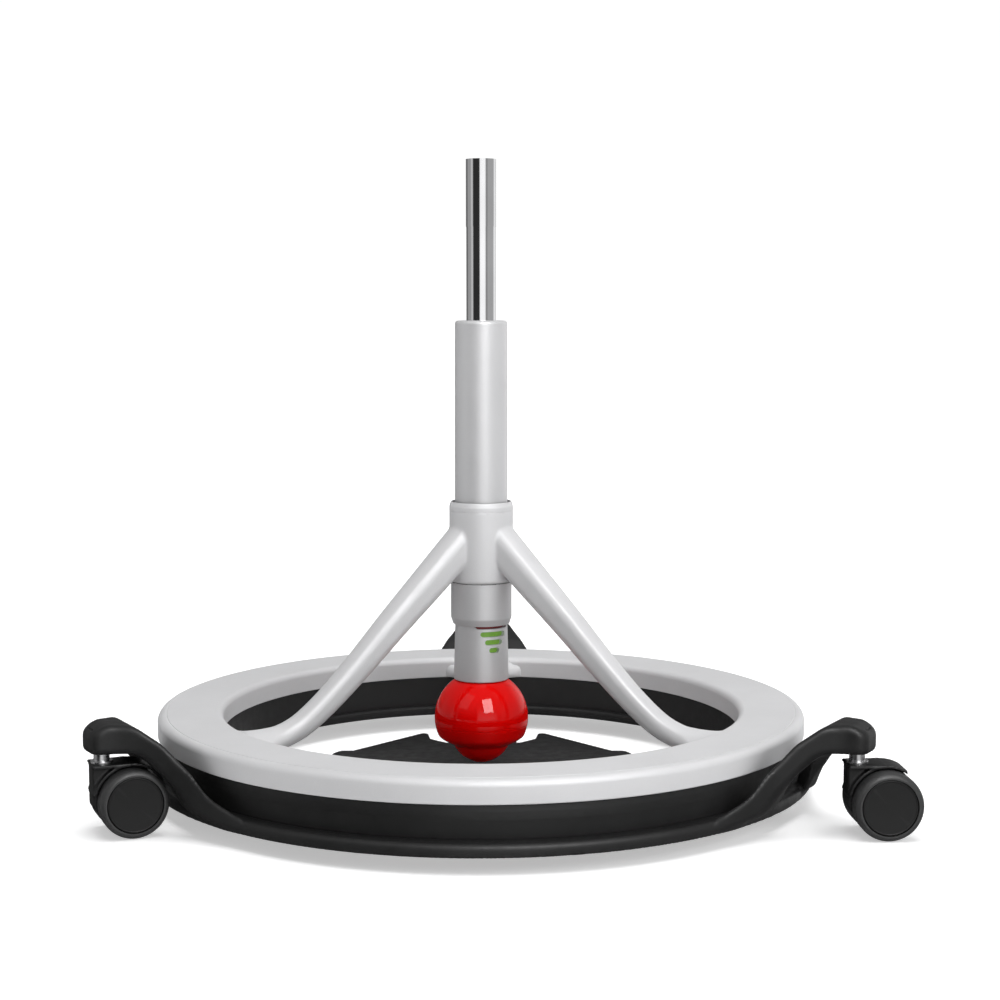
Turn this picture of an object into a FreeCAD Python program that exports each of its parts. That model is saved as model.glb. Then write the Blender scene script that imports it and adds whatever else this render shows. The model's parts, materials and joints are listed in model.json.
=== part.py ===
import FreeCAD, Part
import math
import os

# Castor-mounted foot-ring base of an active sitting stool, with its gas-lift column and no seat.
# Units are millimetres.  The origin is on the floor under the column axis, +Z is up and
# -Y is the front.  Round pieces are outlined as (radius, height) and turned about an axis.

Vector = FreeCAD.Vector
UP = Vector(0, 0, 1)
ORIGIN = Vector(0, 0, 0)
FULL_TURN = 360.0

# ---- driving dimensions ----------------------------------------------------------------------

LEG_AZIMUTHS = {"rear": 90.0, "front_left": 210.0, "front_right": 330.0}

# foot ring, base ring and carrier ring, stacked from the top down
RING_OUTER_RADIUS = 245.0
RING_INNER_RADIUS = 196.0
FOOT_RING_TOP = 61.5
FOOT_RING_BOTTOM = 44.6
FOOT_RING_WALL = 4.5
FOOT_RING_OUTER_ROUNDING = 6.0
FOOT_RING_INNER_ROUNDING = 4.5
BASE_RING_RADIUS = 241.5
BASE_RING_BOTTOM = 20.4
BASE_RING_INNER_RADIUS = 196.3
BASE_RING_WALL = 4.5
BASE_RING_TAPER = 2.5
BASE_RING_BULGE_HEIGHT = 36.6
BASE_RING_BULGE_ROUNDING = 20.0
CARRIER_OUTER_RADIUS = 251.5
CARRIER_INNER_RADIUS = 191.5
CARRIER_TOP = 20.3
CARRIER_BOTTOM = 11.0
CARRIER_CHAMFER_WIDTH = 9.0
CARRIER_CHAMFER_HEIGHT = 3.0

# screws that clamp the three rings together
SCREW_COUNT = 6
SCREW_CIRCLE_RADIUS = 220.0
SCREW_FIRST_AZIMUTH = 30.0
SCREW_RADIUS = 2.0
SCREW_HEAD_RADIUS = 4.4
SCREW_HEAD_HEIGHT = 3.0
SCREW_TOP = 54.0
BOSS_RADIUS = 5.5

# castor arms
STEM_CIRCLE_RADIUS = 302.0
ARM_TOP = 79.2
ARM_HEAD_BOTTOM = 60.8
ARM_END = 311.5
ARM_RING_GAP = 0.6

# one edge of an arm from above, from the head out along a leg and back to the fork:
# distance from the column axis, distance from the arm's mid-plane, corner radius
ARM_PLAN_EDGE = [
    (ARM_END, 12.5, 8.0),
    (298.0, 15.5, 14.0),
    (277.0, 28.0, 30.0),
    (255.0, 43.0, 12.0),
    (247.0, 68.0, 30.0),
    (230.0, 104.0, 40.0),
    (221.0, 117.0),
    (214.0, 110.0),
    (232.0, 74.0, 30.0),
    (244.0, 36.0, 8.0),
    (262.0, 21.0, 8.0),
    (272.0, 0.0, 9.0),
]

# outline of an arm from the side: distance from the column axis, height, corner radius
ARM_SIDE = [
    (ARM_END + 1, ARM_HEAD_BOTTOM, 2.2),
    (ARM_END + 1, ARM_TOP - 6.0, 5.0),
    (301.0, ARM_TOP, 12.0),
    (285.0, ARM_TOP - 1.0, 14.0),
    (269.0, 66.0, 30.0),
    (253.0, 48.0, 16.0),
    (247.0, 34.0, 20.0),
    (226.0, CARRIER_TOP),
    (205.0, CARRIER_TOP),
    (205.0, CARRIER_BOTTOM + 1),
    (240.0, CARRIER_BOTTOM + 1),
    (252.0, 14.0, 10.0),
    (264.0, 34.0, 16.0),
    (284.0, ARM_HEAD_BOTTOM, 14.0),
]

# outline of the space that a castor sweeps: distance from its stem, height
CASTOR_SWEEP = [
    (0.0, 0.0),
    (51.0, 0.0),
    (51.0, 27.0),
    (47.0, 39.5),
    (43.0, 45.0),
    (33.0, 52.0),
    (17.0, 54.5),
    (0.0, 54.5),
]

# castors
WHEEL_RADIUS = 24.0
WHEEL_INNER_FACE = 8.4
WHEEL_OUTER_FACE = 24.0
TREAD_THICKNESS = 3.0
CAP_RECESS = 1.2
WHEEL_BORE_END = 20.5
CASTOR_TRAIL = 18.5
HOOD_TOP = 51.0
CASTOR_TRAIL_AZIMUTHS = {"rear": 10.0, "front_left": 22.0, "front_right": 3.0}
AXLE_RADIUS = 3.0
WEB_HALF_WIDTH = 8.0
HOOD_HALF_WIDTH = 14.0
HOOD_BACK = -7.8
HOOD_FRONT = 20.0
HOOD_THICKNESS = 1.9
STEM_RADIUS = 5.5
STEM_BOTTOM = 34.0
STEM_TOP = 73.0
SOCKET_RADIUS = 7.5
SOCKET_TOP = 74.5
STEM_COLLAR_RADIUS = 7.7
STEM_COLLAR_HEIGHT = 1.6
RUNNING_GAP = 0.05
SLIDING_GAP = 0.08

# hub and the spherical seat that the column sways in
SWAY_CENTRE = 198.0
HUB_RADIUS = 24.25
HUB_TOP = 218.0
HUB_BOTTOM = 150.0
HUB_BORE_RADIUS = 19.9
HUB_MOUTH_RADIUS = 22.25
HUB_LEDGE = 187.0
HUB_MOUTH_BOTTOM = 206.0
SEAT_RADIUS = 47.5
SEAT_GAP = 0.4
BUSH_RADIUS = 21.3
BUSH_HALF_HEIGHT = 9.0
COLLAR_RADIUS = 17.0
BODY_GAP = 0.3

# strut stations: radius and height of the centre, slope, thickness, width, corner radius
STRUT_STATIONS = (
    (12.0, 193.0, 46.5, 27.0, 28.0, 9.0),
    (40.0, 165.0, 46.5, 25.0, 26.0, 8.5),
    (75.0, 130.5, 46.5, 22.0, 23.0, 7.5),
    (105.5, 99.5, 45.5, 19.5, 20.5, 7.0),
    (130.0, 76.5, 41.0, 18.0, 19.5, 6.5),
    (150.0, 61.5, 28.0, 17.0, 20.5, 6.0),
    (170.0, 54.5, 9.0, 16.0, 24.0, 6.0),
    (185.0, 53.2, 1.0, 15.8, 32.0, 6.0),
    (198.0, 53.0, 0.0, 15.8, 46.0, 6.0),
)

# column
TUBE_RADIUS = 15.0
TUBE_BORE_RADIUS = 13.0
TUBE_BOTTOM = 56.0
TUBE_TOP = 346.0
SLEEVE_RADIUS = 20.0
SLEEVE_WALL = 2.0
SLEEVE_BOTTOM = 210.0
SLEEVE_TOP = 354.0
CUP_RADIUS = 23.15
CUP_BORE_RADIUS = 20.6
CUP_BOTTOM = 124.0
CUP_CEILING = 149.0
CUP_TOP = 160.0
CUP_SWING_RADII = (31.6, 28.2)
GUIDE_BUSH_LENGTH = 60.0
GUIDE_BUSH_MOUTH_DEPTH = 36.0
GUIDE_BUSH_FLANGE_TOP = 350.0
END_PLATE_BOTTOM = 57.0
END_PLATE_TOP = 60.0

# gas spring
PRESSURE_TUBE_RADIUS = 11.25
PRESSURE_TUBE_NECK_RADIUS = 11.0
PRESSURE_TUBE_BORE = 9.8
PRESSURE_TUBE_BOTTOM = 180.0
PRESSURE_TUBE_TOP = 474.0
SPIGOT_BOTTOM = 424.0
ROD_RADIUS = 4.0
ROD_BOTTOM = 54.0
ROD_TOP = 228.0
ROD_CLIP_RADIUS = 7.0
BEARING_HEIGHT = 3.7
PISTON_BOTTOM = 215.0
PISTON_TOP = 225.0
SEAL_HEIGHT = 12.0
VALVE_TOP = 473.2
VALVE_HEIGHT = 33.0
PIN_TOP = 472.5
PIN_LENGTH = 24.0
PIN_RADIUS = 3.0

# stiffness indicator sleeve
INDICATOR_BOTTOM = 81.0
INDICATOR_TOP = 130.0
INDICATOR_BASE_RADIUS = 21.0
INDICATOR_NECK_RADIUS = 19.8
INDICATOR_BORE_RADIUS = 17.6
SCALE_AZIMUTH = 300.0
SLOT_HEIGHT = 4.0
SLOT_PITCH = 6.1
SLOT_LOWEST = 105.6
SLOT_ANGLES = (25.0, 43.0, 63.0, 86.0)
INDICATOR_FOOT_HEIGHT = 6.0
GREEN_BAND_BOTTOM = 98.0
BAND_CHANGE = 120.85
RED_BAND_TOP = 129.0
LINER_RADIUS = 15.5

# adjusting ball
BALL_RADIUS = 35.9
BALL_CENTRE = 50.7
BALL_WALL = 3.0
BALL_SEAM = 46.0
BALL_TOP = 80.4
LOWER_SHELL_RADIUS = 34.9
LOWER_SHELL_BOTTOM = 32.0
NOSE_RADIUS = 23.4
NOSE_CENTRE = 39.7
NOSE_MOUTH_RADIUS = 18.0
NUT_RADIUS = 23.0
NUT_BOTTOM = 62.0
NUT_TOP = 72.0
BALL_COLLAR_RADIUS = 24.0

# low centre plate
PLATE_BOTTOM = 2.5
PLATE_TOP = 5.5
PLATE_LOBE_RADIUS = 161.0
PLATE_LOBE_HALF_ANGLE = 17.0
PLATE_SIDE_RADIUS = 136.0
PLATE_NOTCH_RADIUS = 134.0
PLATE_NOTCH_HALF_ANGLE = 19.0
PLATE_ARM_HALF_WIDTH = 28.0
PLATE_ARM_END = 214.0
PLATE_ARM_START = 90.0
PLATE_WAIST_RADIUS = 116.0
PLATE_WAIST_HALF_ANGLE = 15.0
PLATE_RAMP_START = 165.5
PLATE_RAMP_END = 177.5


# ---- shape helpers ---------------------------------------------------------------------------

def upright(a, b):
    """Map an outline point to the X-Z plane."""
    return Vector(a, 0, b)


def flat(a, b):
    """Map an outline point to the X-Y plane."""
    return Vector(a, b, 0)


def corner_arc(before, corner, after, radius):
    """Return the start, middle and end of an arc that rounds a corner."""
    to_before = (before - corner).normalize()
    to_after = (after - corner).normalize()
    half_angle = to_before.getAngle(to_after) / 2
    trim = radius / math.tan(half_angle)
    to_centre = (to_before + to_after).normalize()
    middle = corner + to_centre * (radius / math.sin(half_angle) - radius)
    return corner + to_before * trim, middle, corner + to_after * trim


def outline_face(points, place):
    """Make a face from (a, b) points; a third value rounds that corner with its radius."""
    corners = [place(point[0], point[1]) for point in points]
    count = len(points)
    edges = []
    starts = []
    ends = []
    arcs = []
    for index, point in enumerate(points):
        corner = corners[index]
        if len(point) == 3:
            before = corners[index - 1]
            after = corners[(index + 1) % count]
            start, middle, end = corner_arc(before, corner, after, point[2])
            arcs.append(Part.Arc(start, middle, end).toShape())
        else:
            start, end = corner, corner
            arcs.append(None)
        starts.append(start)
        ends.append(end)
    for index in range(count):
        if arcs[index]:
            edges.append(arcs[index])
        following = (index + 1) % count
        edges.append(Part.LineSegment(ends[index], starts[following]).toShape())
    return Part.Face(Part.Wire(edges))


def turned(points, angle=FULL_TURN):
    """Revolve a (radius, height) outline about the Z axis."""
    return outline_face(points, upright).revolve(ORIGIN, UP, angle)


def slab(points, half_width):
    """Extrude an X-Z outline to both sides of the X-Z plane."""
    face = outline_face(points, upright)
    face.translate(Vector(0, -half_width, 0))
    return face.extrude(Vector(0, 2 * half_width, 0))


def plate(points, bottom, top):
    """Extrude an X-Y outline between two heights."""
    face = outline_face(points, flat)
    face.translate(UP * bottom)
    return face.extrude(UP * (top - bottom))


def cylinder(radius, bottom, top, x=0.0, y=0.0):
    return Part.makeCylinder(radius, top - bottom, Vector(x, y, bottom), UP)


def tube(outer, inner, bottom, top):
    return cylinder(outer, bottom, top).cut(cylinder(inner, bottom - 1, top + 1))


def ball(radius, height):
    return Part.makeSphere(radius, Vector(0, 0, height))


def turned_to(shape, azimuth):
    """Return a copy turned about the column axis."""
    copy = shape.copy()
    copy.rotate(ORIGIN, UP, azimuth)
    return copy


def at_screws(shape):
    """Return one copy of a shape on each ring-screw axis."""
    copies = []
    for index in range(SCREW_COUNT):
        copy = shape.copy()
        copy.translate(Vector(SCREW_CIRCLE_RADIUS, 0, 0))
        azimuth = SCREW_FIRST_AZIMUTH + index * FULL_TURN / SCREW_COUNT
        copies.append(turned_to(copy, azimuth))
    return copies


# ---- rings -----------------------------------------------------------------------------------

def foot_ring():
    """Silver foot ring: a channel, open below, with a screw boss at each screw."""
    inner = RING_INNER_RADIUS
    outer = RING_OUTER_RADIUS
    ceiling = FOOT_RING_TOP - FOOT_RING_WALL
    channel = turned([
        (inner, FOOT_RING_BOTTOM),
        (inner, FOOT_RING_TOP, FOOT_RING_INNER_ROUNDING),
        (outer, FOOT_RING_TOP, FOOT_RING_OUTER_ROUNDING),
        (outer, FOOT_RING_BOTTOM, 1.0),
        (outer - FOOT_RING_WALL, FOOT_RING_BOTTOM),
        (outer - FOOT_RING_WALL, ceiling, 3.0),
        (inner + FOOT_RING_WALL, ceiling, 3.0),
        (inner + FOOT_RING_WALL, FOOT_RING_BOTTOM),
    ])
    boss = cylinder(BOSS_RADIUS, FOOT_RING_BOTTOM, ceiling + 1)
    pilot = cylinder(SCREW_RADIUS, FOOT_RING_BOTTOM - 1, SCREW_TOP)
    return channel.multiFuse(at_screws(boss)).cut(Part.makeCompound(at_screws(pilot)))


def base_ring():
    """Black ring under the foot ring: a channel, open below, with screw bosses."""
    inner = BASE_RING_INNER_RADIUS
    outer = BASE_RING_RADIUS
    ceiling = FOOT_RING_BOTTOM - BASE_RING_WALL
    channel = turned([
        (inner, BASE_RING_BOTTOM),
        (inner, FOOT_RING_BOTTOM),
        (outer - 1.0, FOOT_RING_BOTTOM),
        (outer, BASE_RING_BULGE_HEIGHT, BASE_RING_BULGE_ROUNDING),
        (outer - BASE_RING_TAPER, BASE_RING_BOTTOM),
        (outer - BASE_RING_TAPER - BASE_RING_WALL, BASE_RING_BOTTOM),
        (outer - 1.0 - BASE_RING_WALL, ceiling, 2.0),
        (inner + BASE_RING_WALL, ceiling, 2.0),
        (inner + BASE_RING_WALL, BASE_RING_BOTTOM),
    ])
    boss = cylinder(BOSS_RADIUS, BASE_RING_BOTTOM, ceiling + 1)
    hole = cylinder(SCREW_RADIUS, BASE_RING_BOTTOM - 1, FOOT_RING_BOTTOM + 1)
    return channel.multiFuse(at_screws(boss)).cut(Part.makeCompound(at_screws(hole)))


def ring_screw():
    """Countersunk screw that stands on its head."""
    return turned([
        (0.0, CARRIER_BOTTOM),
        (SCREW_HEAD_RADIUS, CARRIER_BOTTOM),
        (SCREW_RADIUS, CARRIER_BOTTOM + SCREW_HEAD_HEIGHT),
        (SCREW_RADIUS, SCREW_TOP, 1.0),
        (0.0, SCREW_TOP),
    ])


def carrier_ring():
    """Flat black band that carries the castor arms, countersunk for the screws."""
    band = turned([
        (CARRIER_INNER_RADIUS, CARRIER_BOTTOM + CARRIER_CHAMFER_HEIGHT, 1.0),
        (CARRIER_INNER_RADIUS, CARRIER_TOP, 2.0),
        (CARRIER_OUTER_RADIUS, CARRIER_TOP, 4.0),
        (CARRIER_OUTER_RADIUS, CARRIER_BOTTOM, 1.5),
        (CARRIER_INNER_RADIUS + CARRIER_CHAMFER_WIDTH, CARRIER_BOTTOM, 3.0),
    ])
    return band.cut(Part.makeCompound(at_screws(ring_screw())))


# ---- castor arms -----------------------------------------------------------------------------

def swing_envelope():
    """Space that a castor sweeps as it turns about its stem."""
    space = turned(CASTOR_SWEEP)
    space.translate(Vector(STEM_CIRCLE_RADIUS, 0, 0))
    return space


def castor_arm():
    """Fork-shaped arm on the +X axis: a head over the castor and two legs that hug the ring."""
    mirrored = [(point[0], -point[1]) + tuple(point[2:]) for point in reversed(ARM_PLAN_EDGE[:-1])]
    plan = plate(ARM_PLAN_EDGE + mirrored, CARRIER_BOTTOM, ARM_TOP + 1)
    side = slab(ARM_SIDE, STEM_CIRCLE_RADIUS)
    arm = plan.common(side)
    ring_space = cylinder(RING_OUTER_RADIUS + ARM_RING_GAP, CARRIER_TOP, ARM_TOP)
    band_space = cylinder(CARRIER_OUTER_RADIUS, 0, CARRIER_TOP)
    socket_hole = cylinder(SOCKET_RADIUS, 0, SOCKET_TOP, STEM_CIRCLE_RADIUS)
    return arm.cut(ring_space).cut(band_space).cut(swing_envelope()).cut(socket_hole)


def stem_socket():
    """Steel socket pressed into an arm head."""
    socket = tube(SOCKET_RADIUS, STEM_RADIUS + RUNNING_GAP, ARM_HEAD_BOTTOM - 1, SOCKET_TOP)
    socket.translate(Vector(STEM_CIRCLE_RADIUS, 0, 0))
    return socket


# ---- struts and hub --------------------------------------------------------------------------

def cup_swing():
    """Space that the lower cup sweeps as the column sways, under the spherical seat."""
    cone = turned([
        (0.0, CUP_BOTTOM),
        (CUP_SWING_RADII[0], CUP_BOTTOM),
        (CUP_SWING_RADII[1], CUP_TOP - 0.5),
        (0.0, CUP_TOP - 0.5),
    ])
    return cone.cut(ball(SEAT_RADIUS, SWAY_CENTRE))


def rounded_section(radius, height, slope, thickness, width, rounding):
    """Rounded rectangle across a strut that runs down at a slope in degrees."""
    half_t = thickness / 2
    half_w = width / 2
    face = outline_face([
        (-half_t, -half_w, rounding),
        (half_t, -half_w, rounding),
        (half_t, half_w, rounding),
        (-half_t, half_w, rounding),
    ], flat)
    wire = face.OuterWire
    wire.rotate(ORIGIN, Vector(0, 1, 0), 90.0 + slope)
    wire.translate(Vector(radius, 0, height))
    return wire


def strut():
    """Cast strut on the +X axis, from the hub wall down to the inner wall of the foot ring."""
    wires = [rounded_section(*station) for station in STRUT_STATIONS]
    arm = Part.makeLoft(wires, True, False)
    hub_space = cylinder(HUB_RADIUS, 0, HUB_TOP + 10)
    ring_space = tube(RING_OUTER_RADIUS, RING_INNER_RADIUS, 0, HUB_TOP)
    return arm.cut(hub_space).cut(ring_space).cut(cup_swing())


def hub():
    """Hub collar with a spherical underside, a ledge for the bush and a wide mouth."""
    body = turned([
        (HUB_BORE_RADIUS, HUB_BOTTOM),
        (HUB_RADIUS, HUB_BOTTOM),
        (HUB_RADIUS, HUB_TOP, 3.5),
        (HUB_MOUTH_RADIUS - 0.2, HUB_TOP, 0.5),
        (HUB_MOUTH_RADIUS, HUB_MOUTH_BOTTOM),
        (BUSH_RADIUS + BODY_GAP, HUB_MOUTH_BOTTOM),
        (BUSH_RADIUS + BODY_GAP, HUB_LEDGE),
        (HUB_BORE_RADIUS, HUB_LEDGE),
    ])
    return body.common(ball(SEAT_RADIUS, SWAY_CENTRE))


def sway_bush():
    """Elastomer bush: a spherical outside in the hub and a plain bore round the collar."""
    height = BUSH_HALF_HEIGHT
    slice_of = tube(BUSH_RADIUS + 1, COLLAR_RADIUS + BODY_GAP, SWAY_CENTRE - height, SWAY_CENTRE + height)
    return ball(BUSH_RADIUS, SWAY_CENTRE).common(slice_of)


# ---- column ----------------------------------------------------------------------------------

def column_tube():
    return tube(TUBE_RADIUS, TUBE_BORE_RADIUS, TUBE_BOTTOM, TUBE_TOP)


def bearing_collar():
    """Barrel-shaped collar on the column tube at the sway centre."""
    height = BUSH_HALF_HEIGHT
    slice_of = tube(COLLAR_RADIUS + 1, TUBE_RADIUS, SWAY_CENTRE - height, SWAY_CENTRE + height)
    return ball(COLLAR_RADIUS, SWAY_CENTRE).common(slice_of)


def column_sleeve():
    """Silver cover round the column tube, closed at the top and ribbed at the bottom."""
    inside = SLEEVE_RADIUS - SLEEVE_WALL
    return turned([
        (TUBE_RADIUS, SLEEVE_BOTTOM),
        (SLEEVE_RADIUS, SLEEVE_BOTTOM),
        (SLEEVE_RADIUS - 0.3, SLEEVE_TOP, 2.5),
        (PRESSURE_TUBE_RADIUS + 0.8, SLEEVE_TOP, 0.6),
        (PRESSURE_TUBE_RADIUS + 0.8, GUIDE_BUSH_FLANGE_TOP),
        (inside - 0.3, GUIDE_BUSH_FLANGE_TOP),
        (inside, SLEEVE_BOTTOM + 4),
        (TUBE_RADIUS, SLEEVE_BOTTOM + 4),
    ])


def guide_bush():
    """Flanged bush in the mouth of the column tube that guides the pressure tube."""
    bore = PRESSURE_TUBE_NECK_RADIUS + RUNNING_GAP
    return turned([
        (bore, TUBE_TOP - GUIDE_BUSH_LENGTH),
        (TUBE_BORE_RADIUS, TUBE_TOP - GUIDE_BUSH_LENGTH),
        (TUBE_BORE_RADIUS, TUBE_TOP),
        (TUBE_RADIUS, TUBE_TOP),
        (TUBE_RADIUS, GUIDE_BUSH_FLANGE_TOP),
        (PRESSURE_TUBE_RADIUS + BODY_GAP, GUIDE_BUSH_FLANGE_TOP),
        (PRESSURE_TUBE_RADIUS + BODY_GAP, TUBE_TOP - GUIDE_BUSH_MOUTH_DEPTH),
        (bore, TUBE_TOP - GUIDE_BUSH_MOUTH_DEPTH),
    ])


def lower_cup():
    """Cup below the hub; its top face is a spherical seat and its mouth takes the indicator."""
    body = turned([
        (CUP_BORE_RADIUS, CUP_BOTTOM, 0.4),
        (CUP_RADIUS - 1.6, CUP_BOTTOM, 0.4),
        (CUP_RADIUS, CUP_BOTTOM + 5, 4.0),
        (CUP_RADIUS, CUP_TOP),
        (TUBE_RADIUS, CUP_TOP),
        (TUBE_RADIUS, CUP_CEILING),
        (CUP_BORE_RADIUS, CUP_CEILING),
    ])
    return body.cut(ball(SEAT_RADIUS + SEAT_GAP, SWAY_CENTRE))


def end_plate():
    """Plate in the foot of the column tube that the piston rod hangs from."""
    return tube(TUBE_BORE_RADIUS, ROD_RADIUS + RUNNING_GAP, END_PLATE_BOTTOM, END_PLATE_TOP)


# ---- gas spring ------------------------------------------------------------------------------

def piston_rod():
    return cylinder(ROD_RADIUS, ROD_BOTTOM, ROD_TOP)


def rod_clip():
    return tube(ROD_CLIP_RADIUS, ROD_RADIUS, ROD_BOTTOM + 0.5, END_PLATE_BOTTOM - BODY_GAP)


def thrust_bearing():
    bottom = END_PLATE_TOP + BODY_GAP
    return tube(TUBE_BORE_RADIUS - BODY_GAP, ROD_RADIUS, bottom, bottom + BEARING_HEIGHT)


def piston():
    return tube(PRESSURE_TUBE_BORE - SLIDING_GAP, ROD_RADIUS, PISTON_BOTTOM, PISTON_TOP)


def pressure_tube():
    """Chrome tube of the gas spring; its top stretch is the seat spigot."""
    return turned([
        (PRESSURE_TUBE_BORE, PRESSURE_TUBE_BOTTOM),
        (PRESSURE_TUBE_NECK_RADIUS, PRESSURE_TUBE_BOTTOM),
        (PRESSURE_TUBE_NECK_RADIUS, SPIGOT_BOTTOM),
        (PRESSURE_TUBE_RADIUS, SPIGOT_BOTTOM),
        (PRESSURE_TUBE_RADIUS, PRESSURE_TUBE_TOP),
        (PRESSURE_TUBE_BORE, PRESSURE_TUBE_TOP),
    ])


def rod_seal():
    bottom = PRESSURE_TUBE_BOTTOM
    return tube(PRESSURE_TUBE_BORE, ROD_RADIUS + RUNNING_GAP, bottom, bottom + SEAL_HEIGHT)


def valve_body():
    """Valve block that plugs the top of the pressure tube and guides the release pin."""
    return tube(PRESSURE_TUBE_BORE, PIN_RADIUS + RUNNING_GAP, VALVE_TOP - VALVE_HEIGHT, VALVE_TOP)


def release_pin():
    return turned([
        (0.0, PIN_TOP - PIN_LENGTH),
        (PIN_RADIUS, PIN_TOP - PIN_LENGTH),
        (PIN_RADIUS, PIN_TOP, 0.8),
        (0.0, PIN_TOP),
    ])


# ---- stiffness indicator ---------------------------------------------------------------------

def scale_slot(height, angle):
    """Cutter for one round-ended slot through the indicator wall."""
    half = SLOT_HEIGHT / 2
    inner = INDICATOR_BORE_RADIUS - 1
    outer = INDICATOR_BASE_RADIUS + 1
    rounding = math.degrees(half / INDICATOR_NECK_RADIUS)
    straight = angle - 2 * rounding
    band = turned([
        (inner, height - half),
        (outer, height - half),
        (outer, height + half),
        (inner, height + half),
    ], straight)
    cutter = turned_to(band, SCALE_AZIMUTH - straight / 2)
    for side in (-1, 1):
        end = Part.makeCylinder(half, outer - inner, Vector(inner, 0, height), Vector(1, 0, 0))
        cutter = cutter.fuse(turned_to(end, SCALE_AZIMUTH + side * straight / 2))
    return cutter


def indicator_sleeve():
    """Sleeve that slides on the column tube, with a triangular scale of slots."""
    body = turned([
        (TUBE_RADIUS + SLIDING_GAP, INDICATOR_BOTTOM),
        (INDICATOR_BASE_RADIUS, INDICATOR_BOTTOM, 0.8),
        (INDICATOR_NECK_RADIUS, INDICATOR_TOP, 0.8),
        (INDICATOR_BORE_RADIUS, INDICATOR_TOP),
        (INDICATOR_BORE_RADIUS, INDICATOR_BOTTOM + INDICATOR_FOOT_HEIGHT),
        (TUBE_RADIUS + SLIDING_GAP, INDICATOR_BOTTOM + INDICATOR_FOOT_HEIGHT),
    ])
    for index, angle in enumerate(SLOT_ANGLES):
        body = body.cut(scale_slot(SLOT_LOWEST + index * SLOT_PITCH, angle))
    return body


def colour_band(bottom, top):
    """Coloured liner inside the indicator sleeve."""
    return tube(INDICATOR_BORE_RADIUS, LINER_RADIUS, bottom, top)


def green_band():
    return colour_band(GREEN_BAND_BOTTOM, BAND_CHANGE)


def red_band():
    return colour_band(BAND_CHANGE, RED_BAND_TOP)


# ---- adjusting ball --------------------------------------------------------------------------

def ball_upper():
    """Upper shell of the ball with a collar that rides on the adjusting nut."""
    shell = ball(BALL_RADIUS, BALL_CENTRE).cut(ball(BALL_RADIUS - BALL_WALL, BALL_CENTRE))
    shell = shell.common(cylinder(BALL_RADIUS + 1, BALL_SEAM, BALL_TOP))
    collar = cylinder(BALL_COLLAR_RADIUS, NUT_TOP, BALL_TOP).common(ball(BALL_RADIUS - 1, BALL_CENTRE))
    return shell.fuse(collar).cut(cylinder(LINER_RADIUS, 0, BALL_TOP + 1))


def adjusting_nut():
    return tube(NUT_RADIUS, TUBE_RADIUS + SLIDING_GAP, NUT_BOTTOM, NUT_TOP)


def ball_lower():
    """Lower shell of the ball, flat below where the nose joins it."""
    inside = ball(LOWER_SHELL_RADIUS - BALL_WALL, BALL_CENTRE)
    inside = inside.common(cylinder(BALL_RADIUS, LOWER_SHELL_BOTTOM + BALL_WALL, BALL_TOP))
    shell = ball(LOWER_SHELL_RADIUS, BALL_CENTRE).cut(inside)
    shell = shell.common(cylinder(BALL_RADIUS, LOWER_SHELL_BOTTOM, BALL_SEAM))
    return shell.cut(cylinder(NOSE_MOUTH_RADIUS, 0, LOWER_SHELL_BOTTOM + BALL_WALL + 1))


def ball_nose():
    """Smaller dome that closes the underside of the ball."""
    shell = ball(NOSE_RADIUS, NOSE_CENTRE).cut(ball(NOSE_RADIUS - BALL_WALL, NOSE_CENTRE))
    return shell.common(cylinder(BALL_RADIUS, 0, LOWER_SHELL_BOTTOM))


# ---- centre plate ----------------------------------------------------------------------------

def centre_plate():
    """Low three-lobed plate under the ball, with three bars that reach under the carrier ring."""
    points = []
    for azimuth in LEG_AZIMUTHS.values():
        corners = [
            (-60.0, PLATE_SIDE_RADIUS, 30.0),
            (-PLATE_LOBE_HALF_ANGLE, PLATE_LOBE_RADIUS, 4.0),
            (-PLATE_NOTCH_HALF_ANGLE, PLATE_NOTCH_RADIUS, 3.0),
            (-PLATE_WAIST_HALF_ANGLE, PLATE_WAIST_RADIUS, 3.0),
            (PLATE_WAIST_HALF_ANGLE, PLATE_WAIST_RADIUS, 3.0),
            (PLATE_NOTCH_HALF_ANGLE, PLATE_NOTCH_RADIUS, 3.0),
            (PLATE_LOBE_HALF_ANGLE, PLATE_LOBE_RADIUS, 4.0),
        ]
        for offset, radius, rounding in corners:
            angle = math.radians(azimuth + offset)
            points.append((radius * math.cos(angle), radius * math.sin(angle), rounding))
    body = plate(points, PLATE_BOTTOM, PLATE_TOP)
    bar = slab([
        (PLATE_ARM_START, PLATE_BOTTOM),
        (PLATE_ARM_END, PLATE_BOTTOM, 2.0),
        (PLATE_ARM_END, CARRIER_BOTTOM),
        (PLATE_RAMP_END, CARRIER_BOTTOM, 4.0),
        (PLATE_RAMP_START, PLATE_TOP, 4.0),
        (PLATE_ARM_START, PLATE_TOP),
    ], PLATE_ARM_HALF_WIDTH)
    bars = [turned_to(bar, azimuth) for azimuth in LEG_AZIMUTHS.values()]
    return body.multiFuse(bars)


# ---- castors ---------------------------------------------------------------------------------
# A castor is drawn with its stem on the Z axis and its wheels trailing along +X.

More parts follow.
